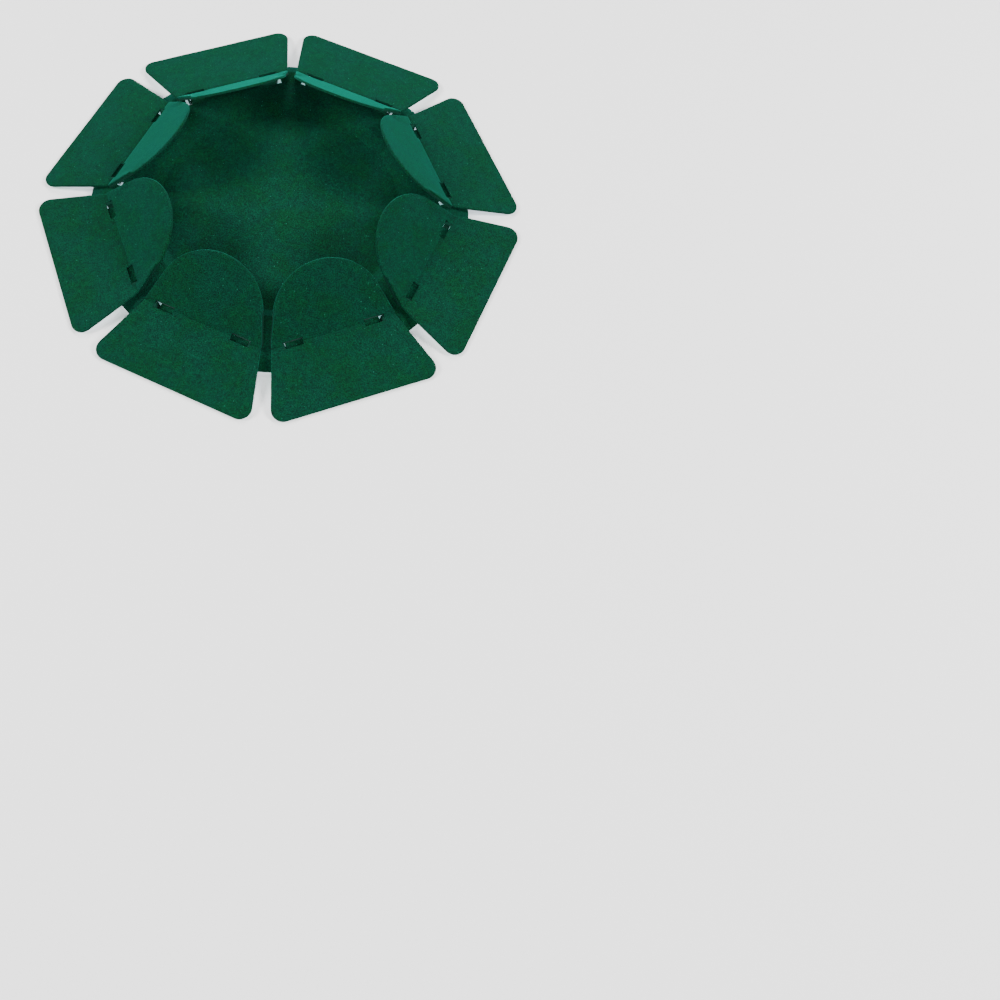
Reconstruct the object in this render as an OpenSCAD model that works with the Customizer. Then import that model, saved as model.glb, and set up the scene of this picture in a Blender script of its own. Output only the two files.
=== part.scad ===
// Indoor golf putting practice cup.
// A round dished plate carries eight rocking flaps. Each flap's ramp rests on the floor and its
// tongue stands up. A ball that rolls up a ramp tips the tongue down and drops into the dish.
// Millimetres, +Z up. The origin is on the floor at the middle of the plate.

/* [Sheet and flocking] */
// Thickness of the steel sheet
sheet = 0.7; // [0.5:0.05:1]
// Thickness of the flocked nylon coat
flock = 0.25; // [0.15:0.05:0.4]

/* [Base plate] */
// Radius of the plate at its rim
plate_r = 75.8; // [72:0.2:86]
// Width of the flat ring round the dish
ring_w = 16.8; // [15.5:0.1:20]
// How far the dish wall runs out as it rises to the ring
wall_run = 4.7; // [3:0.1:8]
// Height of the ring's underside above the floor
ring_h = 2.9; // [2.2:0.1:3.6]
// Width of the lip that slopes from the ring to the rim
lip_w = 5.3; // [4:0.1:8]
// Height of the rim's lower edge above the floor
rim_h = 0.2; // [0:0.1:1]
// Radius of the soft bends pressed in the plate
press_r = 2; // [1.2:0.1:3]
// Radius of the rack hole
rack_hole_r = 2.2; // [1.5:0.1:3]
// Distance of the rack hole in from the rim
rack_hole_inset = 8.5; // [8:0.1:12]

/* [Flaps] */
// Number of flaps round the plate
flap_count = 8; // [6:1:10]
// Distance of each fold in from the plate's rim
fold_inset = 12.4; // [11:0.2:14]
// How far each ramp's outer edge reaches beyond the rim
ramp_over = 16.2; // [13:0.1:36]
// Gap at rest between a ramp and the ring's flocking, where the lip begins
ramp_clear = 0.3; // [0.2:0.05:0.8]
// Gap between neighbouring flaps beside the folds
fold_gap = 3.1; // [2:0.1:6]
// How much less than their sector the flaps spread, degrees
spread_less = 3.9; // [2:0.1:8]
// Radius of the ramps' outer corners
corner_r = 4.5; // [2:0.5:8]
// Length of the tongue from the fold to its tip
tongue_len = 27.6; // [20:0.2:32]
// Angle of the tongue above the floor at rest, degrees
tongue_rise = 45; // [35:1:50]
// Inside radius of the fold
fold_bend_r = 1; // [0.6:0.1:1.5]

/* [Hooks] */
// Distance of each hook's outer face in from the end of the fold
hook_inset = 4.7; // [3.5:0.1:8]
// Width of the strip that makes a hook
hook_w = 2.4; // [1.8:0.1:2.8]
// Distance of the strip's middle from the fold, along the ramp
hook_out = 1.35; // [1.3:0.05:1.6]
// Outside radius of the curl
curl_r = 2.05; // [1.6:0.05:2.3]
// How far round the curl goes, degrees
curl_turn = 130; // [90:5:150]
// Height of the curl's lowest point above the floor
hook_floor_gap = 0.8; // [0.6:0.05:1]
// Length of the opening that each strip leaves in the flap
window_len = 8.2; // [7:0.1:9]
// Width of the cut on each side of the strip
cut_w = 0.15; // [0.1:0.05:0.3]
// Length of the plate's slot, along the radius
slot_len = 6.4; // [5.6:0.1:7]
// Width of the plate's slot
slot_w = 2.4; // [2:0.1:3]
// Distance of the line that a flap rocks about, beyond its fold
hinge_out = 1.35; // [1:0.05:1.7]
// Distance of the slot's middle inside that line
slot_back = 0.55; // [0.3:0.05:0.9]
// Room between the strip and the inner side of its slot
slot_clear = 0.5; // [0.3:0.1:0.8]

/* [Hidden] */
$fn = 96;
eps = 0.05;
sector = 360 / flap_count;
ring_out_r = plate_r - lip_w;
ring_in_r = ring_out_r - ring_w;
dish_r = ring_in_r - wall_run;
ring_top = ring_h + sheet + flock;
wall_angle = atan(ring_h / wall_run);
lip_angle = atan((ring_h - rim_h) / lip_w);
lip_bend = press_r * tan(lip_angle / 2);
wall_bend = press_r * tan(wall_angle / 2);
fold_r = plate_r - fold_inset;
ramp_r = plate_r + ramp_over;
fold_h = (ring_top + ramp_clear) * (ramp_r - fold_r) / (ramp_r - ring_out_r + lip_bend);
ramp_tilt = atan(fold_h / (ramp_r - fold_r));
ramp_len = (ramp_r - fold_r) / cos(ramp_tilt);
fold_turn = tongue_rise - ramp_tilt;
flare = tan(sector / 2 - spread_less);
flare_len = sqrt(1 + flare * flare);
fold_half = fold_r * tan(sector / 2) - fold_gap / 2 / cos(sector / 2);
fold_under_r = fold_bend_r + sheet;
fold_band = 0.6;
setback = fold_under_r * tan(fold_turn / 2);
tip_r = (fold_half - flare * (tongue_len - setback - fold_band)) / (flare_len - flare);
hook_at = fold_half - hook_inset;
hook_bottom = (fold_h - hook_out * sin(ramp_tilt) - hook_floor_gap) / cos(ramp_tilt);
curl_h = curl_r - hook_bottom;
root_r = 0.5;
leg_in = hook_at - sheet;
root_end = hook_at + root_r;
window_w = hook_w + 2 * cut_w;
slot_r = fold_r + hinge_out - slot_back;
slot_in = leg_in - slot_clear;
flock_color = [0.05, 0.36, 0.25];
zinc_color = [0.72, 0.80, 0.86];

// A length of sheet seen from the side, from point a to point b, standing t above that line.
// It runs on by eps at both ends, into the bends that it joins.
module strip_2d(a, b, t) {
    along = (b - a) / norm(b - a);
    up = [-along[1], along[0]] * t;
    near = a - along * eps;
    far = b + along * eps;
    polygon([near, far, far + up, near + up]);
}

// One curved piece of sheet, t thick, on the outside of a bend of radius r about the point at
module arc_2d(at, r, t, from, turn) {
    translate(at)
        intersection() {
            difference() {
                circle(r + t);
                circle(r);
            }
            polygon([
                [0, 0],
                for (k = [0:4]) 2 * (r + t) * [cos(from + turn * k / 4), sin(from + turn * k / 4)]
            ]);
        }
}

// The half section of the dished plate: t thick, with its underside raised by lift
module plate_section(t, lift) {
    low_r = press_r - lift;
    high_r = press_r + lift;
    wall_dir = [cos(wall_angle), sin(wall_angle)];
    lip_dir = [cos(lip_angle), -sin(lip_angle)];
    wall_up = [-sin(wall_angle), cos(wall_angle)] * lift;
    lip_up = [sin(lip_angle), cos(lip_angle)] * lift;
    foot = [dish_r, 0];
    head = [ring_in_r, ring_h];
    brow = [ring_out_r, ring_h];
    translate([0, lift]) square([dish_r - wall_bend + eps, t]);
    arc_2d([dish_r - wall_bend, press_r], low_r - t, t, -90, wall_angle);
    strip_2d(foot + wall_bend * wall_dir + wall_up, head - wall_bend * wall_dir + wall_up, t);
    arc_2d([ring_in_r + wall_bend, ring_h - press_r], high_r, t, 90, wall_angle);
    strip_2d([ring_in_r + wall_bend, ring_h + lift], [ring_out_r - lip_bend, ring_h + lift], t);
    arc_2d([ring_out_r - lip_bend, ring_h - press_r], high_r, t, 90 - lip_angle, lip_angle);
    strip_2d(brow + lip_bend * lip_dir + lip_up, [plate_r, rim_h] + lip_up, t);
}

// Sheet seen from the side, t thick and lying lift above its underside, which starts at the
// origin along +X. Each step is a straight length, the turn at its end in degrees, positive
// upwards, and the radius that the underside bends on. The last step is a length alone.
module sheet_path(steps, t, lift) {
    straight = steps[0][0];
    turn = steps[0][1];
    r = steps[0][2];
    if (straight > 0) translate([0, lift]) square([straight, t]);
    if (len(steps) > 1) {
        side = sign(turn);
        radii = [r - side * lift, r - side * (lift + t)];
        big = 2 * max(radii);
        translate([straight, side * r]) {
            intersection() {
                difference() {
                    circle(max(radii));
                    circle(min(radii));
                }
                translate([0, -big]) square([big, 2 * big]);
                rotate(turn) translate([-big, -big]) square([big, 2 * big]);
            }
            rotate(turn) translate([0, -side * r])
                sheet_path([for (k = [1:len(steps) - 1]) steps[k]], t, lift);
        }
    }
}

// Turns children, drawn facing +X, to place i round the plate. A gap faces the front.
module at_flap(i) {
    rotate([0, 0, (i - 1.5) * sector - 90]) children();
}

// Holes through the plate: two slots for each flap, and the rack hole
module plate_cuts() {
    cut_h = ring_top + 2;
    for (i = [1:flap_count], side = [-1, 1])
        at_flap(i)
            translate([slot_r - slot_len / 2, side * (slot_in + slot_w / 2) - slot_w / 2, -1])
                cube([slot_len, slot_w, cut_h]);
    at_flap(ceil(flap_count / 2))
        translate([plate_r - rack_hole_inset, 0, -1]) cylinder(h = cut_h, r = rack_hole_r);
}

module base_plate() {
    color(zinc_color)
        difference() {
            rotate_extrude() plate_section(sheet, 0);
            plate_cuts();
        }
}

module base_flocking() {
    color(flock_color)
        difference() {
            rotate_extrude() plate_section(flock, sheet);
            plate_cuts();
        }
}

// Outline of a ramp, which widens from just beyond its fold to round outer corners
module ramp_outline() {
    near = setback + fold_band;
    corner_x = ramp_len - corner_r;
    corner_y = fold_half + flare * (corner_x - near) - corner_r * flare_len;
    side_len = (corner_x - near) * flare_len - corner_r * flare + fold_band / 2;
    polygon([
        [near, -fold_half + 1], [corner_x + 1, -corner_y], [corner_x + 1, corner_y],
        [near, fold_half - 1]
    ]);
    for (side = [0, 1])
        mirror([0, side])
            translate([corner_x, corner_y]) {
                circle(corner_r);
                translate([0, -corner_y - 1]) square([corner_r, corner_y + 1]);
                rotate(atan(flare))
                    translate([-side_len, -corner_r]) square([side_len, 2 * corner_r]);
            }
}

// Outline of a tongue, drawn outwards from its fold: sides that close in on one round tip
module tongue_outline() {
    translate([tongue_len - tip_r, 0]) {
        circle(tip_r);
        for (side = [0, 1])
            mirror([0, side])
                rotate(-atan(flare)) translate([-tongue_len, 0]) square([tongue_len, tip_r]);
    }
}

// The openings that the hooks' strips leave beside the fold, cut from h below to h above
module hook_windows(h) {
    for (side = [-1, 1])
        translate([hook_out - window_w / 2, side * (root_end - window_len / 2) - window_len / 2, -h])
            cube([window_w, window_len, 2 * h]);
}

// Turns a tongue's own frame, drawn flat along +X, to its slope beyond the fold
module at_tongue() {
    translate([setback, 0, fold_under_r])
        rotate([0, fold_turn, 0])
            translate([setback, 0, -fold_under_r]) mirror([1, 0, 0]) children();
}

// Bent sheet of a flap, t thick, lying lift above its underside: a strip that makes the fold and
// runs on into the tongue, which is trimmed to its outline, and the ramp
module flap_sheet(t, lift) {
    overlap = fold_band + 1;
    intersection() {
        translate([setback + overlap, 0, 0])
            rotate([90, 0, 0])
                linear_extrude(2 * fold_half, center = true)
                    mirror([1, 0])
                        sheet_path([
                            [overlap, fold_turn, fold_under_r], [tongue_len + 1 - setback]
                        ], t, lift);
        at_tongue() linear_extrude(6 * fold_under_r, center = true) tongue_outline();
    }
    translate([0, 0, lift]) linear_extrude(t) ramp_outline();
}

// One hook: a strip that turns down through the plate and curls back towards the flap's middle
module hook() {
    rotate([90, 0, 90])
        linear_extrude(hook_w, center = true)
            translate([root_end + root_r, 0])
                mirror([1, 0])
                    sheet_path([[root_r, -90, root_r], [-root_r - curl_h, curl_turn, curl_r], [0]],
                        sheet, 0);
}

// Turns a flap's own frame, ramp level and fold on the Y axis, to its place at rest.
// The flap rocks about a level line hinge_out beyond the fold, 0.75 above the ring's flocking.
module seat_flap(i) {
    at_flap(i)
        translate([fold_r, 0, fold_h])
            rotate([0, ramp_tilt, 0]) children();
}

module flap(i) {
    color(zinc_color)
        seat_flap(i) {
            difference() {
                flap_sheet(sheet, 0);
                hook_windows(sheet * 3);
            }
            for (side = [0, 1]) mirror([0, side, 0]) translate([hook_out, 0, 0]) hook();
        }
}

module flap_flocking(i) {
    color(flock_color)
        seat_flap(i)
            difference() {
                flap_sheet(flock, sheet);
                hook_windows(sheet * 3);
            }
}

base_plate();
base_flocking();
for (i = [1:flap_count]) {
    flap(i);
    flap_flocking(i);
}
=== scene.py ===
"""Looks of an indoor golf putting practice cup.

A dished plate of zinc-coated sheet carries eight rocking flaps. Every upper face is flocked green,
and the undersides are bare zinc with green overspray. Lengths are in millimetres in the classes,
and in metres in the meshes, in the same frame as the CAD model.
"""

import logging
import math
from collections.abc import Callable, Iterable
from dataclasses import dataclass, field
from enum import Enum
from typing import Any

import bmesh
import bpy
from mathutils import Matrix, Quaternion, Vector, noise

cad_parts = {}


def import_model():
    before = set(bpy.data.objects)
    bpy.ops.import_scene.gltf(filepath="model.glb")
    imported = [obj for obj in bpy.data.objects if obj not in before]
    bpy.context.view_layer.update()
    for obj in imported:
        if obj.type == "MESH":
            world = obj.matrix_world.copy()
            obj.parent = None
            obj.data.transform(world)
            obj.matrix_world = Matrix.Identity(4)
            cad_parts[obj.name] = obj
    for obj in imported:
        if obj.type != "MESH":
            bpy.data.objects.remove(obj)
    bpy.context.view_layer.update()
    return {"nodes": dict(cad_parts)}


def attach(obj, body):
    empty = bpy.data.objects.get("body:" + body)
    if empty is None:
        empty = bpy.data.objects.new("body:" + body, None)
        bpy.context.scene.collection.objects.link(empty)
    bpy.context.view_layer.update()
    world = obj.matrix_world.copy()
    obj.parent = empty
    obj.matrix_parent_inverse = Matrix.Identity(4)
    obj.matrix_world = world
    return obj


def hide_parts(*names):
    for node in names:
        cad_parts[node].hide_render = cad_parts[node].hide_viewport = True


frame: dict[str, Any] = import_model()

MM = 0.001
FLAPS = 8
# A slot's middle, in mm, measured along and across a gap between two flaps
SLOT_AT = (66.9, 6.2)
# Nearly all of a pattern's values lie between these
NOISE_RANGE = (0.3, 0.7)

Socket = bpy.types.NodeSocket
Rgb = tuple[float, float, float]
Span = tuple[float, float]

logging.basicConfig(level=logging.INFO, format="%(levelname)s %(message)s")
log = logging.getLogger("putting_cup")


class Slot(Enum):
    """The record's material slots."""

    STEEL = "galvanised_steel"
    FLOCK = "green_flocking"


class Side(Enum):
    """The two sides of a flap, seen from the middle of the plate."""

    RIGHT = -1
    LEFT = 1


# ---------------------------------------------------------------------------------------------
# Shader graphs


class Graph:
    """A small hand for building a node tree."""

    def __init__(self, tree: bpy.types.NodeTree) -> None:
        """Takes the tree to build in.

        Args:
            tree: A material's or a group's node tree.
        """
        self.tree = tree

    def node(self, kind: str, inputs: dict[Any, Any] | None = None, **settings: Any) -> bpy.types.Node:
        """Adds a node.

        Args:
            kind: The node's type name, such as ShaderNodeTexNoise.
            inputs: Values or sockets by input name or number.
            settings: The node's own properties.

        Returns:
            The new node.
        """
        made = self.tree.nodes.new(kind)
        for name, value in settings.items():
            setattr(made, name, value)
        for name, value in (inputs or {}).items():
            self.put(made.inputs[name], value)
        return made

    def put(self, socket: Socket, value: Any) -> None:
        """Links a socket into an input, or sets the input's own value.

        Args:
            socket: The input.
            value: A socket, a number, or a tuple.
        """
        if isinstance(value, bpy.types.NodeSocket):
            self.tree.links.new(value, socket)
        else:
            socket.default_value = value

    def math(self, operation: str, a: Any, b: Any = 0.0, c: Any = 0.0, clamp: bool = False) -> Socket:
        """Adds a Math node.

        Args:
            operation: The Math node's operation.
            a: First value or socket.
            b: Second value or socket.
            c: Third value or socket, for the operations that have one.
            clamp: Whether the result is kept from 0 to 1.

        Returns:
            The result's socket.
        """
        made = self.node("ShaderNodeMath", {0: a, 1: b, 2: c}, operation=operation, use_clamp=clamp)
        return made.outputs[0]

    def vector(self, operation: str, a: Any, b: Any = (0.0, 0.0, 0.0)) -> bpy.types.Node:
        """Adds a Vector Math node.

        Args:
            operation: The node's operation.
            a: First vector or socket.
            b: Second vector or socket.

        Returns:
            The node, whose outputs are Vector and Value.
        """
        return self.node("ShaderNodeVectorMath", {0: a, 1: b}, operation=operation)

    def step(self, value: Any, low: Any, high: Any, start: float = 0.0, end: float = 1.0) -> Socket:
        """Adds a smooth step from start to end as value goes from low to high.

        Args:
            value: The value that is looked at.
            low: Where the step begins.
            high: Where it ends.
            start: Result before the step.
            end: Result after it.

        Returns:
            The result's socket.
        """
        inputs = {"Value": value, "From Min": low, "From Max": high, "To Min": start, "To Max": end}
        made = self.node("ShaderNodeMapRange", inputs, interpolation_type="SMOOTHSTEP")
        return made.outputs["Result"]

    def times(self, a: Any, b: Any, clamp: bool = False) -> Socket:
        """Multiplies two values, and keeps the result from 0 to 1 if clamp is set."""
        return self.math("MULTIPLY", a, b, clamp=clamp)

    def plus(self, a: Any, b: Any, clamp: bool = False) -> Socket:
        """Adds two values, and keeps the result from 0 to 1 if clamp is set."""
        return self.math("ADD", a, b, clamp=clamp)

    def most(self, a: Any, b: Any) -> Socket:
        """Takes the greater of two values."""
        return self.math("MAXIMUM", a, b)

    def mix(self, factor: Any, a: Any, b: Any, blend: str = "MIX") -> Socket:
        """Mixes two colours.

        Args:
            factor: Share of the second colour.
            a: First colour or socket.
            b: Second colour or socket.
            blend: The Mix node's blend type.

        Returns:
            The colour's socket.
        """
        first, second = ((*c, 1.0) if isinstance(c, tuple) else c for c in (a, b))
        inputs = {0: factor, 6: first, 7: second}
        made = self.node("ShaderNodeMix", inputs, data_type="RGBA", blend_type=blend)
        return made.outputs[2]

    def group(self, tree: bpy.types.NodeTree, **inputs: Any) -> bpy.types.Node:
        """Places a node group with its own values.

        Args:
            tree: The group's tree.
            inputs: Values or sockets by input name.

        Returns:
            The group node.
        """
        made = self.node("ShaderNodeGroup", node_tree=tree)
        for name, value in inputs.items():
            self.put(made.inputs[name], value)
        return made


def group_tree(
    name: str, inputs: Iterable[tuple[str, str]], outputs: Iterable[str]
) -> tuple[Graph, bpy.types.Node, bpy.types.Node]:
    """Starts a shader node group.

    Args:
        name: The group's name.
        inputs: Name and kind, Float or Vector, of each input.
        outputs: Names of its outputs, all plain values.

    Returns:
        The group's graph, its input node and its output node.
    """
    tree = bpy.data.node_groups.new(name, "ShaderNodeTree")
    for label, kind in inputs:
        tree.interface.new_socket(label, in_out="INPUT", socket_type=f"NodeSocket{kind}")
    for label in outputs:
        tree.interface.new_socket(label, in_out="OUTPUT", socket_type="NodeSocketFloat")
    graph = Graph(tree)
    return graph, graph.node("NodeGroupInput"), graph.node("NodeGroupOutput")


def patches_group(detail: float = 4.0, roughness: float = 0.62) -> bpy.types.NodeTree:
    """Builds the group for uneven patches of any size: blotches, mottling and grain.

    Args:
        detail: Octaves of finer noise.
        roughness: Strength of the finer noise.

    Returns:
        The group's tree. Size is the patches' size in metres, and Mask goes from 0 to 1 as the
        pattern goes from Low to High.
    """
    sockets = [("Vector", "Vector"), ("Size", "Float"), ("Low", "Float"), ("High", "Float")]
    graph, given, result = group_tree("Patches", sockets, ["Mask", "Value"])
    scale = graph.math("DIVIDE", 1.0, given.outputs["Size"])
    inputs = {"Vector": given.outputs["Vector"], "Scale": scale, "Detail": detail, "Roughness": roughness}
    value = graph.node("ShaderNodeTexNoise", inputs).outputs[0]
    graph.put(result.inputs["Mask"], graph.step(value, given.outputs["Low"], given.outputs["High"]))
    graph.put(result.inputs["Value"], value)
    return graph.tree


def specks_group(core: float = 0.4) -> bpy.types.NodeTree:
    """Builds the group for scattered specks.

    Args:
        core: The share of a speck's radius that is solid.

    Returns:
        The group's tree. Spacing is the mean distance between specks in metres, and Radius is a
        speck's radius as a share of it.
    """
    sockets = [("Vector", "Vector"), ("Spacing", "Float"), ("Radius", "Float")]
    graph, given, result = group_tree("Specks", sockets, ["Mask"])
    scale = graph.math("DIVIDE", 1.0, given.outputs["Spacing"])
    cells = graph.node("ShaderNodeTexVoronoi", {"Vector": given.outputs["Vector"], "Scale": scale})
    size = graph.times(cells.outputs["Color"], given.outputs["Radius"])
    mask = graph.step(cells.outputs["Distance"], size, graph.times(size, core))
    graph.put(result.inputs["Mask"], mask)
    return graph.tree


def plate_places_group(slot_at: Span, flaps: int) -> bpy.types.NodeTree:
    """Builds the group that tells where a point lies on the round plate.

    Args:
        slot_at: A slot's middle, in mm, measured along and across a gap between two flaps.
        flaps: Number of flaps.

    Returns:
        The group's tree. Radius is in mm, Slot is the distance in mm to the nearest slot, and
        Across is the distance in mm to the nearest gap's line.
    """
    outputs = ["Radius", "Slot", "Across"]
    graph, given, result = group_tree("Plate Places", [("Vector", "Vector")], outputs)
    parts = graph.node("ShaderNodeSeparateXYZ", {0: given.outputs["Vector"]})

    def distance(a: Socket, b: Socket) -> Socket:
        """Gives the length of the sides a and b of a right angle's slant."""
        return graph.math("SQRT", graph.plus(graph.times(a, a), graph.times(b, b)))

    x = graph.times(parts.outputs[0], 1 / MM)
    y = graph.times(parts.outputs[1], 1 / MM)
    radius = distance(x, y)
    folded = graph.math("PINGPONG", graph.math("ARCTAN2", y, x), math.pi / flaps)
    along = graph.times(radius, graph.math("COSINE", folded))
    across = graph.times(radius, graph.math("SINE", folded))
    off_x = graph.math("SUBTRACT", along, slot_at[0])
    off_y = graph.math("SUBTRACT", across, slot_at[1])
    graph.put(result.inputs["Radius"], radius)
    graph.put(result.inputs["Slot"], distance(off_x, off_y))
    graph.put(result.inputs["Across"], across)
    return graph.tree


@dataclass
class Effects:
    """The shader node groups that the finishes share."""

    patches: bpy.types.NodeTree
    specks: bpy.types.NodeTree
    places: bpy.types.NodeTree


class Surface(Graph):
    """A new material's graph, with its shader, its coordinates and the shared effects."""

    def __init__(self, name: str, effects: Effects) -> None:
        """Starts a material with a Principled shader.

        Args:
            name: The material's name.
            effects: The shared node groups.
        """
        self.material = bpy.data.materials.new(name)
        self.material.use_nodes = True
        super().__init__(self.material.node_tree)
        self.tree.nodes.clear()
        self.effects = effects
        self.shader = self.node("ShaderNodeBsdfPrincipled")
        self.output = self.node("ShaderNodeOutputMaterial")
        self.put(self.output.inputs["Surface"], self.shader.outputs[0])
        coords = self.node("ShaderNodeTexCoord")
        self.where, self.normal = coords.outputs["Object"], coords.outputs["Normal"]

    def patch(self, size: float, contrast: Span = (0.0, 1.0)) -> bpy.types.Node:
        """Places the patches.

        Args:
            size: The patches' size, in mm.
            contrast: The pattern's values at which the mask is 0 and 1.

        Returns:
            The group node, whose outputs are Mask and Value.
        """
        low, high = contrast
        return self.group(self.effects.patches, Vector=self.where, Size=size * MM, Low=low, High=high)

    def dots(self, spacing: float, radius: float) -> Socket:
        """Places the specks.

        Args:
            spacing: The mean distance between specks, in mm.
            radius: A speck's radius as a share of the spacing.

        Returns:
            The mask's socket.
        """
        made = self.group(self.effects.specks, Vector=self.where, Spacing=spacing * MM, Radius=radius)
        return made.outputs["Mask"]

    def shade(self, values: dict[str, Any]) -> None:
        """Sets the shader's inputs by name."""
        for name, value in values.items():
            self.put(self.shader.inputs[name], value)


@dataclass(frozen=True)
class FlockFinish:
    """Short dense nylon flock: deep green, mottled, with a soft sheen and a fine nap.

    Sizes, spacings and depths are in mm. A painted sheen lightens the colour where the surface is seen at
    grazing angles.
    """

    blue_green: Rgb = (0.0003, 0.0275, 0.0160)
    leaf_green: Rgb = (0.0004, 0.0265, 0.0086)
    pale_fibre: Rgb = (0.020, 0.200, 0.125)
    # The next colour is painted sheen, mixed in where the surface is seen at grazing angles.
    painted_sheen_fibre: Rgb = (0.001, 0.115, 0.078)
    patch_size: float = 14.0
    patch_contrast: Span = (0.38, 0.62)
    patch_share: float = 0.55
    mottle_size: float = 2.2
    mottle_contrast: Span = (0.30, 0.70)
    mottle_shades: Span = (0.82, 1.18)
    nap_size: float = 0.40
    nap_shades: Span = (0.38, 1.62)
    nap_depth: float = 0.12
    nap_strength: float = 0.55
    speck_spacing: float = 1.9
    speck_radius: float = 0.15
    speck_strength: float = 0.55
    # Shape and strength of the painted sheen.
    painted_sheen_power: float = 3.0
    painted_sheen_strength: float = 0.65
    roughness: float = 0.95
    specular: float = 0.08
    sheen: float = 0.15
    sheen_roughness: float = 0.42
    sheen_tint: Rgb = (0.01, 0.80, 0.56)

    def build(self, effects: Effects) -> bpy.types.Material:
        """Builds the material.

        Args:
            effects: The shared node groups.

        Returns:
            The material.
        """
        graph = Surface("flock_green", effects)
        wide = graph.patch(self.patch_size, self.patch_contrast)
        small = graph.patch(self.mottle_size, self.mottle_contrast)
        nap = graph.patch(self.nap_size).outputs["Value"]
        specks = graph.dots(self.speck_spacing, self.speck_radius)
        wide_part = graph.times(wide.outputs["Mask"], self.patch_share)
        small_part = graph.times(small.outputs["Mask"], 1 - self.patch_share)
        colour = graph.mix(graph.plus(wide_part, small_part), self.blue_green, self.leaf_green)
        shade = graph.step(nap, *NOISE_RANGE, *self.nap_shades)
        shade = graph.times(shade, graph.step(small.outputs["Value"], *NOISE_RANGE, *self.mottle_shades))
        grey = graph.node("ShaderNodeCombineColor", {0: shade, 1: shade, 2: shade})
        colour = graph.mix(1.0, colour, grey.outputs[0], "MULTIPLY")
        colour = graph.mix(graph.times(specks, self.speck_strength), colour, self.pale_fibre)
        # Painted sheen: the colour is lightened where the surface is seen at grazing angles.
        facing = graph.node("ShaderNodeLayerWeight", {"Blend": 0.5}).outputs["Facing"]
        grazing = graph.math("POWER", facing, self.painted_sheen_power)
        colour = graph.mix(graph.times(grazing, self.painted_sheen_strength), colour, self.painted_sheen_fibre)
        relief = {"Strength": self.nap_strength, "Distance": self.nap_depth * MM, "Height": nap}
        values = {
            "Base Color": colour,
            "Normal": graph.node("ShaderNodeBump", relief).outputs[0],
            "Roughness": self.roughness,
            "Specular IOR Level": self.specular,
            "Sheen Weight": self.sheen,
            "Sheen Roughness": self.sheen_roughness,
            "Sheen Tint": (*self.sheen_tint, 1.0),
        }
        graph.shade(values)
        return graph.material


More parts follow.
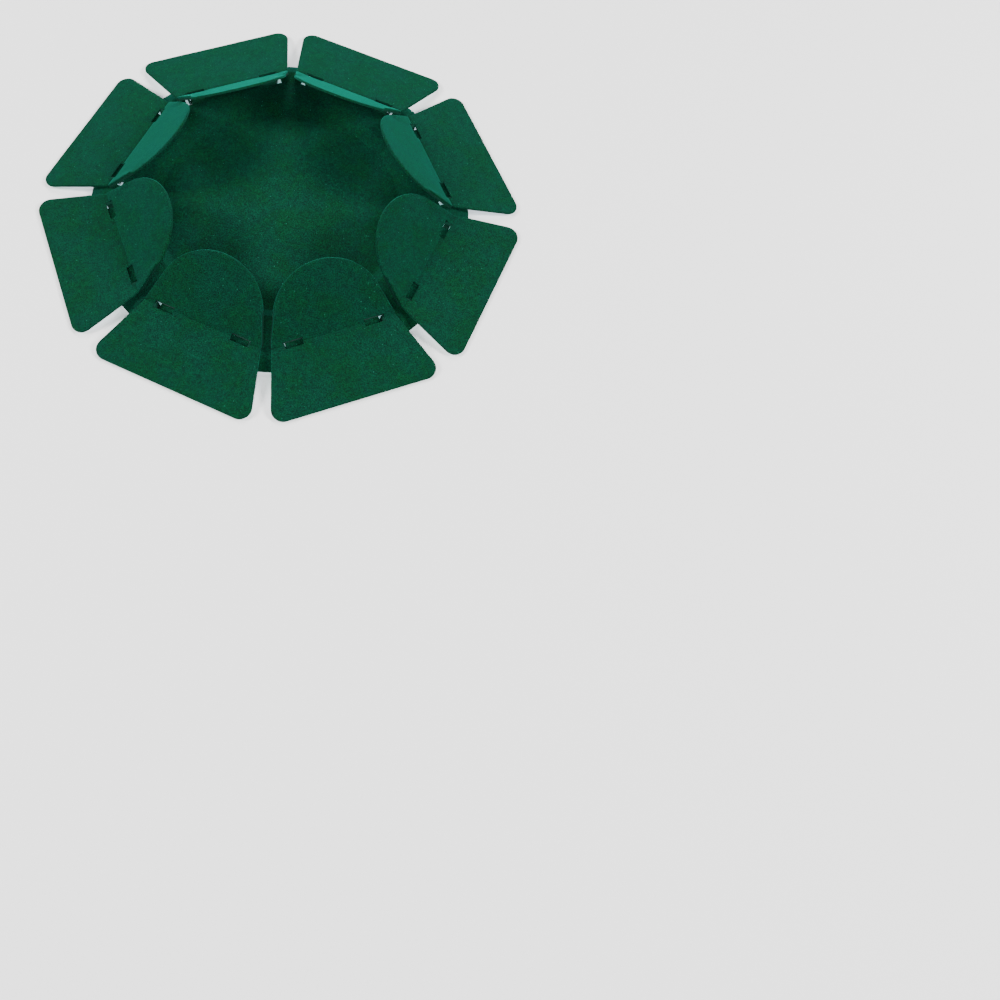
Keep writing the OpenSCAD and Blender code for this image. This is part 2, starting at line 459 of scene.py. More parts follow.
@dataclass(frozen=True)
class SteelFinish:
    """Matt zinc-coated sheet with green overspray, which lies thinly in fine speckles.

    Sizes, radii, reaches and heights are in mm. A pair tells where a smooth step begins and ends.
    """

    zinc: Rgb = (0.60, 0.66, 0.82)
    edge: Rgb = (0.74, 0.74, 0.82)
    teal: Rgb = (0.022, 0.400, 0.330)
    deep: Rgb = (0.010, 0.300, 0.170)
    # Dark flock colour, which also serves as painted shade on the hooks.
    dark_flock_and_shade: Rgb = (0.0016, 0.0300, 0.0180)
    speck: Rgb = (0.012, 0.110, 0.090)

    fine_size: float = 0.55
    coarse_size: float = 1.5
    fine_share: float = 0.62
    thin_gate: Span = (0.63, -0.23)
    thick_gate: Span = (0.66, -0.26)
    gate_half: float = 0.08
    teal_strength: float = 0.80
    deep_strength: float = 0.85
    cloud_size: float = 0.8
    cloud_contrast: Span = (0.3, 0.7)
    cloud_strength: float = 0.14
    dot_spacing: float = 2.1
    dot_radius: float = 0.20
    dot_strength: float = 0.75

    grain_size: float = 0.35
    grain_depth: float = 0.06
    grain_strength: float = 0.22
    grain_roughness: Span = (0.46, 0.62)
    specular: float = 0.12

    wander_size: float = 16.0
    wander_reach: float = 8.0
    fringe_size: float = 4.0
    fringe_reach: float = 5.0
    spray_radii: Span = (51.0, 59.5)
    broad_size: float = 42.0
    broad_contrast: Span = (0.36, 0.62)
    broad_levels: Span = (0.62, 1.0)
    wander_contrast: Span = (0.30, 0.60)
    wander_levels: Span = (0.75, 1.0)
    heavy_contrast: Span = (0.34, 0.62)
    slot_reach: Span = (9.0, 2.0)
    slot_strength: float = 0.75
    lip_radii: Span = (68.5, 72.5)
    lip_strength: float = 0.62
    rim_radii: Span = (74.6, 75.2)
    rim_slope: Span = (0.80, 0.60)
    hole_radii: Span = (74.0, 73.0)
    hole_slope: Span = (0.30, 0.15)

    blotch_size: float = 20.0
    blotch_contrast: Span = (0.42, 0.62)
    blotch_strength: float = 0.75
    corner_radii: Span = (84.0, 97.0)
    corner_strength: float = 0.55
    side_reach: Span = (9.0, 2.0)
    side_strength: float = 0.30
    flap_teal: Span = (0.75, 0.22)
    flap_deep_from: float = 0.30
    ragged_size: float = 6.0
    ragged_contrast: Span = (0.32, 0.60)
    ragged_levels: Span = (0.5, 1.3)
    hook_heights: Span = (2.7, 2.4)
    hook_radii: Span = (76.0, 74.0)
    cut_slope: Span = (0.55, 0.80)
    shade_heights: Span = (1.5, 2.0)
    worn_size: float = 2.0
    worn_contrast: Span = (0.46, 0.60)
    worn_strength: float = 0.6
    # Painted shade on the hooks' sides and upward faces.
    hook_shade_slope: Span = (-0.5, -0.1)
    hook_shade_levels: Span = (0.0, 0.8)
    above_slope: Span = (-0.35, -0.15)
    upward_slope: Span = (0.15, 0.35)

    def gated(self, graph: Surface, scatter: Socket, amount: Socket, gate: Span) -> Socket:
        """Lets more of the scattered speckles show where there is more spray.

        Args:
            graph: The material's graph.
            scatter: The speckles' pattern.
            amount: How much spray there is, from 0 to 1.
            gate: The pattern's value that shows with no spray, and its change with full spray.

        Returns:
            The mask's socket.
        """
        middle = graph.math("MULTIPLY_ADD", amount, gate[1], gate[0])
        low = graph.math("SUBTRACT", middle, self.gate_half)
        return graph.step(scatter, low, graph.plus(middle, self.gate_half))

    def speckled(self, graph: Surface, thin: Socket, thick: Socket) -> Socket:
        """Lays overspray over bare zinc.

        Args:
            graph: The material's graph.
            thin: How much light teal spray there is, from 0 to 1.
            thick: How much deep green spray there is, from 0 to 1.

        Returns:
            The colour's socket.
        """
        fine = graph.patch(self.fine_size).outputs["Value"]
        coarse = graph.patch(self.coarse_size).outputs["Value"]
        scatter = graph.plus(graph.times(fine, self.fine_share), graph.times(coarse, 1 - self.fine_share))
        thin_mask = self.gated(graph, scatter, thin, self.thin_gate)
        thick_mask = self.gated(graph, scatter, thick, self.thick_gate)
        cloud = graph.patch(self.cloud_size, self.cloud_contrast).outputs["Mask"]
        colour = graph.mix(graph.times(cloud, self.cloud_strength), self.zinc, self.edge)
        colour = graph.mix(graph.times(thin_mask, self.teal_strength), colour, self.teal)
        colour = graph.mix(graph.times(thick_mask, self.deep_strength), colour, self.deep)
        dots = graph.dots(self.dot_spacing, self.dot_radius)
        return graph.mix(graph.times(dots, graph.times(thin, self.dot_strength)), colour, self.speck)

    def dress(self, graph: Surface, colour: Socket, dull: Socket) -> None:
        """Puts colour, grain and gloss on the shader.

        Args:
            graph: The material's graph.
            colour: The surface's colour.
            dull: Where flock fibres take the gloss away, and where the hooks carry painted shade, from 0 to
                1.
        """
        grain = graph.patch(self.grain_size).outputs["Value"]
        relief = {"Strength": self.grain_strength, "Distance": self.grain_depth * MM, "Height": grain}
        gloss = graph.step(grain, *NOISE_RANGE, *self.grain_roughness)
        values = {
            "Base Color": colour,
            "Specular IOR Level": self.specular,
            "Roughness": graph.most(gloss, dull),
            "Normal": graph.node("ShaderNodeBump", relief).outputs[0],
        }
        graph.shade(values)

    def plate(self, effects: Effects) -> bpy.types.Material:
        """Builds the base plate's material: bare in the middle, sprayed round the ring.

        Args:
            effects: The shared node groups.

        Returns:
            The material.
        """
        graph = Surface("zinc_plate", effects)
        spot = graph.group(effects.places, Vector=graph.where)
        radius = spot.outputs["Radius"]
        wander = graph.patch(self.wander_size).outputs["Value"]
        broad = graph.patch(self.broad_size).outputs["Value"]
        fringe = graph.patch(self.fringe_size).outputs["Value"]
        shifted = graph.plus(radius, graph.times(wander, self.wander_reach))
        shifted = graph.plus(shifted, graph.times(fringe, self.fringe_reach))
        begins = graph.step(shifted, *self.spray_radii)
        level = graph.step(broad, *self.broad_contrast, *self.broad_levels)
        uneven = graph.step(wander, *self.wander_contrast, *self.wander_levels)
        thin = graph.times(begins, graph.times(level, uneven), clamp=True)
        by_slot = graph.times(graph.step(spot.outputs["Slot"], *self.slot_reach), self.slot_strength)
        on_lip = graph.times(graph.step(radius, *self.lip_radii), self.lip_strength)
        heavy = graph.step(wander, *self.heavy_contrast)
        thick = graph.times(graph.most(by_slot, on_lip), heavy, clamp=True)
        colour = self.speckled(graph, thin, thick)
        normal = graph.node("ShaderNodeSeparateXYZ", {0: graph.normal})
        flat = graph.math("ABSOLUTE", normal.outputs[2])
        rim = graph.times(graph.step(flat, *self.rim_slope), graph.step(radius, *self.rim_radii))
        colour = graph.mix(rim, colour, self.edge)
        # The steep walls of the slots and hole inside the rim take the dark flock colour.
        holes = graph.times(graph.step(flat, *self.hole_slope), graph.step(radius, *self.hole_radii))
        colour = graph.mix(holes, colour, self.dark_flock_and_shade)
        self.dress(graph, colour, holes)
        return graph.material

    def hook(self, graph: Surface, facing: Socket, cut: Socket) -> Socket:
        """Colours the hooks: worn teal, with painted shade on their sides and upward faces, bare at their
        cut edges.

        Args:
            graph: The material's graph.
            facing: How far the surface faces up, from -1 to 1.
            cut: Where the surface is a cut edge, from 0 to 1.

        Returns:
            The colour's socket.
        """
        worn = graph.patch(self.worn_size, self.worn_contrast).outputs["Mask"]
        colour = graph.mix(graph.times(worn, self.worn_strength), self.teal, self.zinc)
        # Painted shade: hook faces that face sideways or up are darkened towards the dark flock colour.
        side = graph.step(facing, *self.hook_shade_slope, *self.hook_shade_levels)
        return graph.mix(cut, graph.mix(side, colour, self.dark_flock_and_shade), self.edge)

    def flap(self, effects: Effects) -> bpy.types.Material:
        """Builds the flaps' material: blotched below, with teal hooks whose lower cut edges are bare, and
        painted shade on the hooks' upper cut ends and upward faces.

        Args:
            effects: The shared node groups.

        Returns:
            The material.
        """
        graph = Surface("zinc_flap", effects)
        where, normal = graph.where, graph.normal
        spot = graph.group(effects.places, Vector=where)
        radius = spot.outputs["Radius"]
        blotch = graph.patch(self.blotch_size, self.blotch_contrast).outputs["Mask"]
        corner = graph.times(graph.step(radius, *self.corner_radii), self.corner_strength)
        side = graph.times(graph.step(spot.outputs["Across"], *self.side_reach), self.side_strength)
        spray = graph.plus(graph.most(corner, side), graph.times(blotch, self.blotch_strength))
        thin = graph.plus(graph.times(spray, self.flap_teal[0]), self.flap_teal[1], clamp=True)
        ragged = graph.patch(self.ragged_size).outputs["Value"]
        ragged = graph.step(ragged, *self.ragged_contrast, *self.ragged_levels)
        thick = graph.math("SUBTRACT", spray, self.flap_deep_from, clamp=True)
        colour = self.speckled(graph, thin, graph.times(thick, ragged, clamp=True))
        height = graph.node("ShaderNodeSeparateXYZ", {0: where}).outputs[2]
        facing = graph.node("ShaderNodeSeparateXYZ", {0: normal}).outputs[2]
        low = graph.step(height, *(value * MM for value in self.hook_heights))
        on_hook = graph.times(low, graph.step(radius, *self.hook_radii))
        outward = graph.vector("DOT_PRODUCT", normal, graph.vector("NORMALIZE", where).outputs[0])
        cut = graph.step(graph.math("ABSOLUTE", outward.outputs["Value"]), *self.cut_slope)
        colour = graph.mix(on_hook, colour, self.hook(graph, facing, cut))
        # Painted shade: the hooks' cut ends from 1.5 mm up, and their upward faces, take the dark flock
        # colour.
        shaded = graph.times(cut, graph.step(height, *(value * MM for value in self.shade_heights)))
        above = graph.times(graph.step(facing, *self.above_slope), graph.math("SUBTRACT", 1.0, on_hook))
        faces_up_and_hook_shade = graph.most(graph.step(facing, *self.upward_slope), graph.times(shaded, on_hook))
        # Flock cover off the hooks, and painted shade on them.
        flocked = graph.most(above, faces_up_and_hook_shade)
        colour = graph.mix(flocked, colour, self.dark_flock_and_shade)
        self.dress(graph, colour, flocked)
        return graph.material


# ---------------------------------------------------------------------------------------------
# Meshes by hand


def deselect_all() -> None:
    """Leaves edit mode and deselects every object."""
    if bpy.context.object and bpy.context.object.mode != "OBJECT":
        bpy.ops.object.mode_set(mode="OBJECT")
    bpy.ops.object.select_all(action="DESELECT")


def pick(obj: bpy.types.Object, mode: str, wanted: Callable[[Any], bool]) -> None:
    """Selects parts of the mesh in edit mode by their place.

    Args:
        obj: The object, in edit mode.
        mode: VERT, EDGE or FACE.
        wanted: Takes a vertex, edge or face, and tells whether it is selected.
    """
    bpy.ops.mesh.select_mode(type=mode)
    bpy.ops.mesh.select_all(action="DESELECT")
    mesh = bmesh.from_edit_mesh(obj.data)
    parts = {"VERT": mesh.verts, "EDGE": mesh.edges, "FACE": mesh.faces}[mode]
    for part in [part for part in parts if wanted(part)]:
        part.select_set(True)
    mesh.select_flush_mode()
    bmesh.update_edit_mesh(obj.data)


def apply_modifier(obj: bpy.types.Object, kind: str, **settings: Any) -> None:
    """Adds a modifier and applies it.

    Args:
        obj: The object, in object mode.
        kind: The modifier's type.
        settings: Its properties.
    """
    deselect_all()
    obj.select_set(True)
    bpy.context.view_layer.objects.active = obj
    made = obj.modifiers.new(kind.title(), kind)
    for name, value in settings.items():
        setattr(made, name, value)
    bpy.ops.object.modifier_apply(modifier=made.name)


@dataclass
class FlapCoat:
    """The flock coats of the flaps: one is shaped by hand, then copied round the plate.

    A flap's own frame has its fold on the Y axis, its ramp level along +X and its underside at
    zero height. Lengths are in millimetres and angles in degrees. The window is given by its low
    and high X and Y. The wrap lists the steps, outwards and downwards, that turn the coat over
    the cut edge. The outline is inset, so that neighbouring coats stay clear of each other when
    all the flaps are tipped. A swell is a noise's scale and its depth.
    """

    count: int = FLAPS
    sheet: float = 0.7
    coat: float = 0.25
    fold_at: float = 63.4
    fold_height: float = 5.4
    ramp_end: float = 92.0
    fold_half: float = 24.583
    flare: float = 0.3363
    corner: float = 4.5
    tongue: float = 27.6
    rise: float = 45.0
    bend: float = 1.0
    band: float = 0.6
    window: tuple[float, float, float, float] = (0.0, 2.7, 12.183, 20.383)
    wrap: tuple[tuple[float, float], ...] = ((0.06, 0.02), (0.02, 0.06), (0.0, 0.50))
    cell: float = 1.6
    row_gap: float = 0.45
    inset: float = 0.28
    swells: tuple[Span, ...] = ((160.0, 0.05), (420.0, 0.03))
    press_reach: float = 2.4
    press_depth: float = 0.10
    tip_share: float = 0.9995
    bend_steps: int = 6
    corner_steps: int = 10
    tip_steps: int = 16
    hair: float = 0.01
    arc_slack: float = 0.2
    window_slack: float = 0.3
    outline_merge: float = 0.03
    final_merge: float = 0.002
    tilt: float = field(init=False)
    turn: float = field(init=False)
    setback: float = field(init=False)
    ramp: float = field(init=False)

    def __post_init__(self) -> None:
        """Works out the slopes and lengths that follow from the sizes."""
        self.tilt = math.atan2(self.fold_height, self.ramp_end - self.fold_at)
        self.ramp = math.hypot(self.fold_height, self.ramp_end - self.fold_at) - self.inset
        self.tongue -= self.inset
        self.corner -= self.inset
        self.fold_half -= self.inset * math.hypot(1, self.flare)
        self.turn = math.radians(self.rise) - self.tilt
        self.setback = (self.bend + self.sheet) * math.tan(self.turn / 2)

    def along_tongue(self, distance: float) -> Vector:
        """Gives a point of the tongue's upper face, halfway across it.

        Args:
            distance: Length along the underside from the fold's corner, in mm.

        Returns:
            The point in the flap's frame, in metres.
        """
        slope = Vector((-math.cos(self.turn), 0, math.sin(self.turn)))
        over = Vector((math.sin(self.turn), 0, math.cos(self.turn)))
        return (slope * distance + over * self.sheet) * MM

    def on_tongue(self, point: Vector) -> bool:
        """Tells whether a point of the sheet lies beyond the fold, on the tongue."""
        return point.x < -math.sin(self.turn) * self.bend * MM + (self.setback - 2 * self.hair) * MM

    def place_on(self, point: Vector) -> tuple[float, float]:
        """Measures a point of the tongue.

        Args:
            point: A point in the flap's frame, in metres.

        Returns:
            Its distances along and across the tongue, in mm.
        """
        return -point.x / MM * math.cos(self.turn) + point.z / MM * math.sin(self.turn), point.y / MM

    def normal_at(self, point: Vector) -> Vector:
        """Gives the direction out of the sheet's upper face at a point of the flap."""
        start = self.setback * MM
        if point.x >= start:
            return Vector((0, 0, 1))
        if self.on_tongue(point):
            return Vector((math.sin(self.turn), 0, math.cos(self.turn)))
        centre = Vector((start, point.y, (self.bend + self.sheet) * MM))
        return (centre - point).normalized()

    def outline(self) -> bpy.types.Object:
        """Shapes the flat and folded outline, one face thick.

        Returns:
            The object, left in edit mode.
        """
        deselect_all()
        near = self.setback + self.band
        length = self.ramp - near
        bpy.ops.mesh.primitive_plane_add(size=1, location=(0, 0, 0))
        obj = bpy.context.object
        bpy.ops.object.mode_set(mode="EDIT")
        bpy.ops.transform.resize(value=(length * MM, 2 * self.fold_half * MM, 1))
        bpy.ops.transform.translate(value=((near + length / 2) * MM, 0, self.sheet * MM))
        pick(obj, "VERT", lambda v: v.co.x > (near + length / 2) * MM)
        wider = (self.fold_half + self.flare * length) / self.fold_half
        bpy.ops.transform.resize(value=(1, wider, 1))
        interior = math.pi / 2 - math.atan(self.flare)
        bpy.ops.mesh.bevel(
            offset=self.corner / math.tan(interior / 2) * MM,
            affect="VERTICES",
            segments=self.corner_steps,
            clamp_overlap=False,
        )
        pick(obj, "EDGE", lambda e: all(v.co.x < (near + self.hair) * MM for v in e.verts))
        bpy.ops.mesh.extrude_region_move(TRANSFORM_OT_translate={"value": (-self.band * MM, 0, 0)})
        centre = (self.setback * MM, 0, (self.bend + self.sheet) * MM)
        bpy.ops.mesh.spin(steps=self.bend_steps, angle=self.turn, center=centre, axis=(0, 1, 0))
        step = self.along_tongue(self.setback + self.band) - self.along_tongue(self.setback)
        bpy.ops.mesh.extrude_region_move(TRANSFORM_OT_translate={"value": step})
        rest = self.tongue - self.setback - self.band
        step = self.along_tongue(self.tongue) - self.along_tongue(self.tongue - rest)
        bpy.ops.mesh.extrude_region_move(TRANSFORM_OT_translate={"value": step})
        tip_half = self.fold_half - self.flare * rest
        bpy.ops.transform.resize(value=(1, tip_half / self.fold_half, 1))
        bpy.ops.mesh.bevel(
            offset=tip_half * self.tip_share * MM,
            affect="VERTICES",
            segments=self.tip_steps,
            clamp_overlap=False,
        )
        bpy.ops.mesh.select_all(action="SELECT")
        bpy.ops.mesh.remove_doubles(threshold=self.outline_merge * MM)
        self.true_arcs(obj)
        return obj

    def true_arcs(self, obj: bpy.types.Object) -> None:
        """Brings the rounded corners and tip onto true circles.

        Args:
            obj: The coat, in edit mode.
        """
        stretch = math.hypot(1, self.flare)
        near = self.setback + self.band
        tip_r = (self.fold_half - self.flare * (self.tongue - self.setback - self.band)) / (
            stretch - self.flare
        )
        corner_x = self.ramp - self.corner
        corner_y = self.fold_half + self.flare * (corner_x - near) - self.corner * stretch
        touch_x = corner_x - self.corner * self.flare / stretch
        tip_x = self.tongue - tip_r
        touch_tip = tip_x + tip_r * self.flare / stretch
        mesh = bmesh.from_edit_mesh(obj.data)
        for vert in mesh.verts:
            if vert.co.x > (touch_x - self.arc_slack) * MM:
                off = Vector((vert.co.x / MM - corner_x, abs(vert.co.y) / MM - corner_y))
                if off.x > -self.corner and off.y > self.hair / 10:
                    off = off.normalized() * self.corner
                    vert.co.x = (corner_x + off.x) * MM
                    vert.co.y = math.copysign(corner_y + off.y, vert.co.y) * MM
            elif self.on_tongue(vert.co):
                along, across = self.place_on(vert.co)
                if along > touch_tip - self.arc_slack:
                    off = Vector((along - tip_x, across)).normalized() * tip_r
                    point = self.along_tongue(tip_x + off.x)
                    vert.co = (point.x, off.y * MM, point.z)
        bmesh.update_edit_mesh(obj.data)

    def cut_grid(self, obj: bpy.types.Object) -> None:
        """Cuts the outline into small cells, with edges along the windows.

        Args:
            obj: The coat, in edit mode.
        """

        def bisect(point: Vector, direction: Vector) -> None:
            """Cuts every face along one plane."""
            bpy.ops.mesh.select_all(action="SELECT")
            bpy.ops.mesh.bisect(plane_co=point, plane_no=direction, threshold=1e-7)

        low_x, high_x, low_y, high_y = self.window
        across = Vector((0, 1, 0))
        widest = self.fold_half + self.flare * self.ramp
        rows = [k * self.cell for k in range(-int(widest / self.cell), int(widest / self.cell) + 1)]
        for y in rows:
            if min(abs(abs(y) - low_y), abs(abs(y) - high_y)) > self.row_gap:
                bisect(Vector((0, y * MM, 0)), across)
        for y in (low_y, high_y):
            for side in Side:
                bisect(Vector((0, side.value * y * MM, 0)), across)
        for k in range(1, int(self.ramp / self.cell)):
            bisect(Vector(((high_x + k * self.cell) * MM, 0, 0)), Vector((1, 0, 0)))
        for x in (low_x, high_x):
            bisect(Vector((x * MM, 0, 0)), Vector((1, 0, 0)))
        slope = self.along_tongue(1) - self.along_tongue(0)
        for k in range(1, int(self.tongue / self.cell)):
            bisect(self.along_tongue(self.setback + k * self.cell), slope)

    def open_windows(self, obj: bpy.types.Object) -> None:
        """Takes out the windows' faces and presses the flock down beside them.

        Args:
            obj: The coat, in edit mode.
        """
        low_x, high_x, low_y, high_y = (value * MM for value in self.window)

        def inside(face: Any) -> bool:
            """Tells whether a face lies in a window."""
            middle = face.calc_center_median()
            return low_x < middle.x < high_x and low_y < abs(middle.y) < high_y

        pick(obj, "FACE", inside)
        bpy.ops.mesh.delete(type="FACE")
        mesh = bmesh.from_edit_mesh(obj.data)
        for vert in mesh.verts:
            gap_x = max(low_x - vert.co.x, vert.co.x - high_x, 0)
            gap_y = max(low_y - abs(vert.co.y), abs(vert.co.y) - high_y, 0)
            near = max(0.0, 1 - math.hypot(gap_x, gap_y) / (self.press_reach * MM))
            swell = sum(noise.noise(vert.co * scale) * depth for scale, depth in self.swells)
            pressed = self.press_depth * near * near
            vert.co += self.normal_at(vert.co) * (swell * (1 - near) - pressed) * MM
        bmesh.update_edit_mesh(obj.data)

    def outward(self, vert: Any) -> Vector:
        """Gives the direction out of the outline, level with the sheet, at a selected vertex."""
        total = Vector((0, 0, 0))
        for edge in vert.link_edges:
            if edge.select:
                face = edge.link_faces[0]
                across = (edge.verts[1].co - edge.verts[0].co).cross(self.normal_at(vert.co))
                away = (edge.verts[0].co + edge.verts[1].co) / 2 - face.calc_center_median()
                total += across.normalized() * math.copysign(1, across.dot(away))
        return total.normalized()

    def wrap_edge(self, obj: bpy.types.Object) -> None:
        """Turns the coat's outer edge softly down over the sheet's cut edge.

        Args:
            obj: The coat, in edit mode.
        """
        low_x, high_x, low_y, high_y = (value * MM for value in self.window)
        slack = self.window_slack * MM
        per_metre = 1e8

        def outer(edge: Any) -> bool:
            """Tells whether an edge is on the coat's outline."""
            middle = (edge.verts[0].co + edge.verts[1].co) / 2
            beside = low_y - slack < abs(middle.y) < high_y + slack
            return edge.is_boundary and not (beside and low_x - slack < middle.x < high_x + slack)

        def key(point: Vector) -> tuple[int, ...]:
            """Names a place to the nearest 10 nanometres."""
            return tuple(round(value * per_metre) for value in point)

        pick(obj, "EDGE", outer)
        mesh = bmesh.from_edit_mesh(obj.data)
        ways = {key(v.co): (self.outward(v), self.normal_at(v.co)) for v in mesh.verts if v.select}
        for out, down in self.wrap:
            bpy.ops.mesh.extrude_region_move(TRANSFORM_OT_translate={"value": (0, 0, 0)})
            mesh = bmesh.from_edit_mesh(obj.data)
            moved: dict[tuple[int, ...], tuple[Vector, Vector]] = {}
            for vert in [v for v in mesh.verts if v.select]:
                outwards, upwards = ways[key(vert.co)]
                vert.co += (outwards * out - upwards * down) * MM
                moved[key(vert.co)] = (outwards, upwards)
            ways = moved
            bmesh.update_edit_mesh(obj.data)

    def shape(self) -> bpy.types.Object:
        """Models one coat in the flap's own frame.

        Returns:
            The object, in object mode.
        """
        obj = self.outline()
        self.cut_grid(obj)
        self.open_windows(obj)
        self.wrap_edge(obj)
        bpy.ops.mesh.select_all(action="SELECT")
        bpy.ops.mesh.remove_doubles(threshold=self.final_merge * MM)
        bpy.ops.mesh.normals_make_consistent(inside=False)
        mesh = bmesh.from_edit_mesh(obj.data)
        widest = max(mesh.faces, key=lambda face: face.calc_area())
        if widest.normal.z < 0:
            bpy.ops.mesh.flip_normals()
        bpy.ops.object.mode_set(mode="OBJECT")
        apply_modifier(obj, "SOLIDIFY", thickness=self.coat * MM, offset=1.0, use_quality_normals=True)
        return obj

    def seat(self, number: int) -> Matrix:
        """Gives the place of flap number, counted from 1, as a matrix from the flap's frame."""
        azimuth = math.radians(-90 + (number - 1.5) * 360 / self.count)
        out = Matrix.Translation((self.fold_at * MM, 0, self.fold_height * MM))
        return Matrix.Rotation(azimuth, 4, "Z") @ out @ Matrix.Rotation(self.tilt, 4, "Y")

    def build(self, material: bpy.types.Material) -> list[bpy.types.Object]:
        """Makes all the flaps' coats.

        Args:
            material: The flock finish.

        Returns:
            The pieces, riding on their flaps.
        """
        model = self.shape()
        made = []
        for number in range(1, self.count + 1):
            coat = model.copy()
            coat.data = model.data.copy()
            coat.name = coat.data.name = f"flap_coat_{number}"
            bpy.context.scene.collection.objects.link(coat)
            coat.data.transform(self.seat(number))
            finish_piece(coat, material, f"flap_{number}", [f"flap_flocking_{number}"])
            made.append(coat)
        bpy.data.objects.remove(model)
        return made


def finish_piece(
    obj: bpy.types.Object, material: bpy.types.Material, body: str, stands_for: list[str], smooth: float = 40
) -> None:
    """Gives a new flock piece its finish and body, and lets it stand for its CAD nodes.

    Args:
        obj: The piece.
        material: Its material.
        body: The CAD body that it rides on.
        stands_for: The CAD nodes that it replaces.
        smooth: The angle, in degrees, up to which edges are shaded smooth.
    """
    deselect_all()
    obj.select_set(True)
    bpy.context.view_layer.objects.active = obj
    obj.data.materials.clear()
    obj.data.materials.append(material)
    bpy.ops.object.shade_smooth_by_angle(angle=math.radians(smooth))
    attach(obj, body)
    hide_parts(*stands_for)
    log.info("%s: %d faces, on %s", obj.name, len(obj.data.polygons), body)


@dataclass
class BaseCoat:
    """The flock coat of the dished plate, with soft edges at its rim, slots and hole.

    Lengths are in millimetres. Edges flatter than flat_angle, in degrees, are dissolved, and
    those sharper than sharp_angle are softened.
    """

    node: str = "base_flocking"
    softness: float = 0.08
    merge: float = 0.001
    flat_angle: float = 0.5
    sharp_angle: float = 50

    def build(self, material: bpy.types.Material) -> bpy.types.Object:
        """Makes the coat from its solid.

        Args:
            material: The flock finish.

        Returns:
            The piece, riding on the base.
        """
        source = frame["nodes"][self.node]
        coat = source.copy()
        coat.data = source.data.copy()
        coat.parent = None
        for key in list(coat.keys()):
            del coat[key]
        coat.name = coat.data.name = "base_coat"
        bpy.context.scene.collection.objects.link(coat)
        deselect_all()
        coat.select_set(True)
        bpy.context.view_layer.objects.active = coat
        bpy.ops.object.mode_set(mode="EDIT")
        bpy.ops.mesh.select_all(action="SELECT")
        bpy.ops.mesh.remove_doubles(threshold=self.merge * MM)
        bpy.ops.mesh.dissolve_limited(angle_limit=math.radians(self.flat_angle))
        bpy.ops.object.mode_set(mode="OBJECT")
        apply_modifier(
            coat,
            "BEVEL",
            width=self.softness * MM,
            segments=2,
            limit_method="ANGLE",
            angle_limit=math.radians(self.sharp_angle),
        )
        finish_piece(coat, material, "base", [self.node])
        return coat


@dataclass
class SteelWork:
    """The plate and flaps as they come from the press, with a finish on each CAD node."""

    finish: SteelFinish = SteelFinish()
    flaps: int = FLAPS

    def dress(self, effects: Effects) -> None:
        """Puts the finishes on the CAD nodes.

        Args:
            effects: The shared node groups.
        """
        plate, flap = self.finish.plate(effects), self.finish.flap(effects)
        names = ["base_plate", *(f"flap_{k}" for k in range(1, self.flaps + 1))]
        for name in names:
            obj = frame["nodes"][name]
            material = plate if name == "base_plate" else flap
            for slot in obj.material_slots:
                slot.material = material
            if not obj.material_slots:
                obj.data.materials.append(material)
            log.info("%s: dressed with %s", name, material.name)


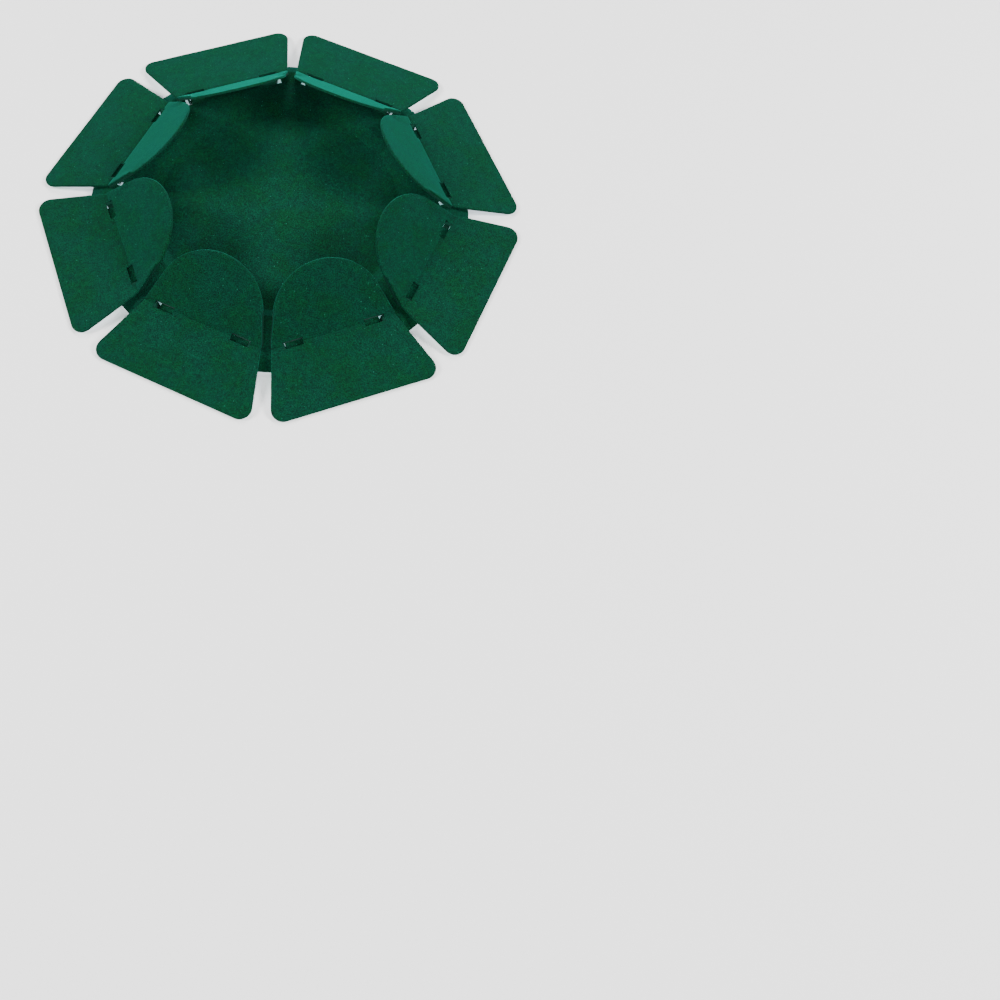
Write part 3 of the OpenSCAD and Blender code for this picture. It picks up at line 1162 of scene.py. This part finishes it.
@dataclass
class Studio:
    """A pale floor, soft light and the camera.

    The camera's place is in mm. A lamp has a name, a place and a side in metres, and its watts.
    """

    camera_at: tuple[float, float, float] = (24.67, -292.13, 391.97)
    looks_along: tuple[float, float, float] = (0.005559, 0.509855, -0.860243)
    roll: float = 3.971
    lens: float = 43.236
    shift: tuple[float, float] = (0.16, -0.16)
    sensor: float = 36.0
    clip: Span = (0.01, 20.0)
    floor_size: float = 6.0
    floor_drop: float = 0.1
    floor_shade: float = 0.95
    floor_roughness: float = 0.9
    floor_specular: float = 0.1
    sky: float = 0.20
    lamps: tuple[tuple[str, tuple[float, float, float], float, float], ...] = (
        ("left", (-0.80, -0.05, 0.58), 0.30, 13.0),
        ("right", (0.80, -0.05, 0.58), 0.30, 13.0),
        ("front", (0.0, -0.75, 0.80), 0.40, 10.0),
        ("back", (0.0, 0.80, 0.62), 0.40, 8.0),
        ("under", (0.1, -0.35, -0.9), 1.0, 17.0),
    )

    def floor(self, effects: Effects) -> None:
        """Lays the floor, which shows from above only and lets light through from below.

        Args:
            effects: The shared node groups.
        """
        deselect_all()
        bpy.ops.mesh.primitive_plane_add(size=self.floor_size, location=(0, 0, -self.floor_drop * MM))
        floor = bpy.context.object
        floor.name = "floor"
        graph = Surface("floor_pale", effects)
        values = {
            "Base Color": (*(self.floor_shade,) * 3, 1.0),
            "Roughness": self.floor_roughness,
            "Specular IOR Level": self.floor_specular,
        }
        graph.shade(values)
        clear = graph.node("ShaderNodeBsdfTransparent")
        back = graph.node("ShaderNodeNewGeometry").outputs["Backfacing"]
        both = graph.node("ShaderNodeMixShader", {0: back, 1: graph.shader.outputs[0], 2: clear.outputs[0]})
        graph.put(graph.output.inputs["Surface"], both.outputs[0])
        floor.data.materials.append(graph.material)
        floor.visible_shadow = floor.visible_diffuse = floor.visible_glossy = False

    def lamp(self, name: str, at: tuple[float, float, float], size: float, watts: float) -> None:
        """Hangs one soft square light that faces the cup.

        Args:
            name: The light's name.
            at: Its place, in metres.
            size: The length of its side, in metres.
            watts: Its power.
        """
        data = bpy.data.lights.new(name, "AREA")
        data.size, data.energy = size, watts
        lamp = bpy.data.objects.new(name, data)
        lamp.location = at
        lamp.rotation_mode = "QUATERNION"
        lamp.rotation_quaternion = (-Vector(at)).to_track_quat("-Z", "Y")
        bpy.context.scene.collection.objects.link(lamp)

    def light(self) -> None:
        """Sets the soft sky and the lamps."""
        world = bpy.data.worlds.new("studio")
        world.use_nodes = True
        back = world.node_tree.nodes["Background"]
        back.inputs[0].default_value = (1.0, 1.0, 1.0, 1.0)
        back.inputs[1].default_value = self.sky
        bpy.context.scene.world = world
        for name, at, size, watts in self.lamps:
            self.lamp(name, at, size, watts)

    def camera(self) -> None:
        """Sets the camera."""
        data = bpy.data.cameras.new("camera")
        data.lens, data.sensor_width = self.lens, self.sensor
        data.shift_x, data.shift_y = self.shift
        data.clip_start, data.clip_end = self.clip
        camera = bpy.data.objects.new("camera", data)
        camera.location = Vector(self.camera_at) * MM
        camera.rotation_mode = "QUATERNION"
        aim = Vector(self.looks_along).to_track_quat("-Z", "Y")
        camera.rotation_quaternion = aim @ Quaternion((0, 0, 1), math.radians(self.roll))
        bpy.context.scene.collection.objects.link(camera)
        bpy.context.scene.camera = camera


def main() -> None:
    """Builds the looks of the whole cup."""
    effects = Effects(patches_group(), specks_group(), plate_places_group(SLOT_AT, FLAPS))
    studio = Studio()
    studio.camera()
    studio.floor(effects)
    studio.light()
    SteelWork().dress(effects)
    flock = FlockFinish().build(effects)
    coats = [BaseCoat().build(flock), *FlapCoat().build(flock)]
    log.info("%d flock coats made", len(coats))


if __name__ == "__main__":
    main()
